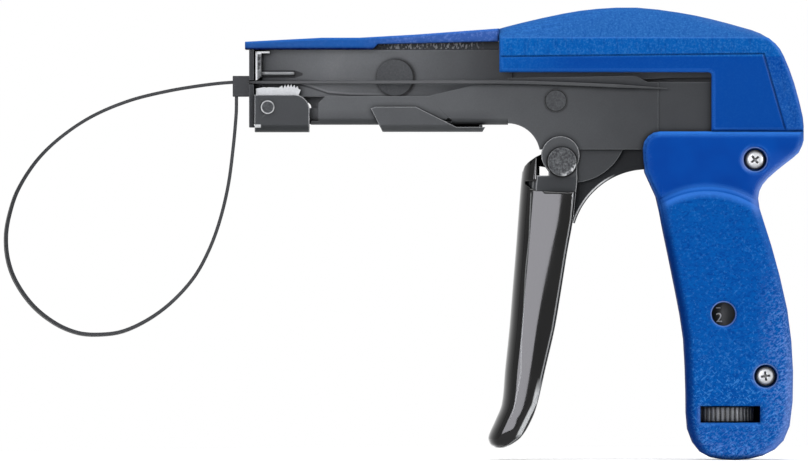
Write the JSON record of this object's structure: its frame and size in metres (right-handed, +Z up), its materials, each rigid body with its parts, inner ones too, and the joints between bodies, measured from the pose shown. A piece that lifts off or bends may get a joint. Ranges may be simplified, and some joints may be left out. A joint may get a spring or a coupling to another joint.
{
  "type": "cable tie tensioning tool",
  "caption": "Pistol-grip tool that pulls a cable tie tight and trims its tail, with a slim barrel, a front trigger, a humped cover, a moulded handle and a tie held in the nose.",
  "frame": {"origin": "on the front face of the nose plate at the height of the tie slot, on the mid-plane of the tool", "axes": "+X back along the barrel from the nose to the handle, +Y across the tool to its right side, +Z up"},
  "size_m": [0.2578, 0.025, 0.1459],
  "materials": {
    "cover_blue": "satin",
    "handle_blue": "textured",
    "frame_steel": "satin dark grey",
    "inner_steel": "satin",
    "bright_zinc": "bright",
    "spring_steel": "bright",
    "trigger_black": "glossy",
    "moulded_black": "satin",
    "tie_nylon": "satin"
  },
  "bodies": {
    "frame": {"frame_channel": "frame_steel", "nose_plate": "frame_steel", "tie_guide_plate": "frame_steel", "guide_rod": "inner_steel", "saddle_clip": "frame_steel", "trigger_bracket": "frame_steel", "barrel_strip": "cover_blue", "top_cover": "cover_blue", "grip_left": "handle_blue", "grip_right": "handle_blue", "grip_screws": "bright_zinc", "cutter_pivot_pin": "frame_steel", "frame_rivet": "frame_steel", "trigger_pin": "frame_steel", "fulcrum_pin": "inner_steel", "spring_seat": "inner_steel", "return_spring": "spring_steel"},
    "trigger": {"trigger_arm": "frame_steel", "trigger_sleeve": "trigger_black", "link_pin": "inner_steel"},
    "push_link": {"push_link": "moulded_black"},
    "drive_lever": {"drive_lever": "inner_steel", "lever_pins": "inner_steel"},
    "carriage": {"pull_bar": "inner_steel", "pawl_carrier": "frame_steel", "pawl_pin": "inner_steel", "pawl_spring": "spring_steel"},
    "pawl": {"pawl": "bright_zinc"},
    "cutter_lever": {"cutter_lever": "inner_steel"},
    "blade": {"cutter_blade": "bright_zinc"},
    "yoke": {"trip_yoke": "inner_steel"},
    "rod": {"tension_rod": "inner_steel"},
    "sleeve": {"tension_sleeve": "moulded_black", "tension_spring": "spring_steel"},
    "knob": {"tension_knob": "moulded_black"},
    "tie": {"tie_head": "tie_nylon", "tie_strap": "tie_nylon"}
  },
  "joints": [
    {"name": "trigger_pull", "type": "hinge", "parent": "frame", "child": "trigger", "pos_m": [0.1008, 0, -0.0255], "axis": [0, -1, 0], "range_deg": [0, 30], "stiffness_Nm_per_rad": 0.8, "springref_deg": -5.73},
    {"name": "push_link_swing", "type": "hinge", "parent": "trigger", "child": "push_link", "pos_m": [0.098, 0, -0.0435], "axis": [0, -1, 0], "range_deg": [-27.1, 0]},
    {"name": "drive_lever_swing", "type": "hinge", "parent": "frame", "child": "drive_lever", "pos_m": [0.143, 0, -0.055], "axis": [0, 1, 0], "range_deg": [0, 15.3]},
    {"name": "carriage_slide", "type": "slide", "parent": "frame", "child": "carriage", "axis": [1, 0, 0], "range_m": [0, 0.01222], "deforming": ["return_spring"]},
    {"name": "pawl_release", "type": "hinge", "parent": "carriage", "child": "pawl", "pos_m": [0.006, 0, -0.0079], "axis": [0, 1, 0], "range_deg": [0, 5], "stiffness_Nm_per_rad": 0.01, "springref_deg": -5.73, "deforming": ["pawl_spring"]},
    {"name": "cutoff", "type": "hinge", "parent": "frame", "child": "cutter_lever", "pos_m": [0.0473, 0, 0.0016], "axis": [0, -1, 0], "range_deg": [0, 2.07], "stiffness_Nm_per_rad": 30, "springref_deg": -0.57},
    {"name": "blade_slide", "type": "slide", "parent": "frame", "child": "blade", "axis": [0, 0, -1], "range_m": [0, 0.00161]},
    {"name": "yoke_lift", "type": "slide", "parent": "frame", "child": "yoke", "axis": [0, 0, 1], "range_m": [0, 0.00395], "deforming": ["tension_spring"]},
    {"name": "knob_turn", "type": "hinge", "parent": "frame", "child": "knob", "pos_m": [0.1533, 0, 0], "axis": [0, 0, 1], "range_deg": [-360.1, 1080.1]},
    {"name": "rod_turn", "type": "hinge", "parent": "yoke", "child": "rod", "pos_m": [0.1533, 0, 0], "axis": [0, 0, 1], "range_deg": [-360.1, 1080.1]},
    {"name": "setting_slide", "type": "slide", "parent": "yoke", "child": "sleeve", "axis": [0, 0, 1], "range_m": [-0.0033, 0.0099], "deforming": ["tension_spring"]},
    {"name": "tie_draw", "type": "slide", "parent": "frame", "child": "tie", "axis": [-1, 0, 0], "range_m": [0, 0.15], "deforming": ["tie_strap"]}
  ],
  "couplings": [
    {"joint": "push_link_swing", "follows": "trigger_pull", "ratio": -0.9},
    {"joint": "drive_lever_swing", "follows": "trigger_pull", "ratio": 0.508},
    {"joint": "carriage_slide", "follows": "trigger_pull", "m_per_rad": 0.02328},
    {"joint": "blade_slide", "follows": "cutoff", "m_per_rad": 0.0443},
    {"joint": "yoke_lift", "follows": "cutoff", "m_per_rad": 0.1087},
    {"joint": "knob_turn", "follows": "setting_slide", "rad_per_m": 1904},
    {"joint": "rod_turn", "follows": "setting_slide", "rad_per_m": 1904}
  ]
}
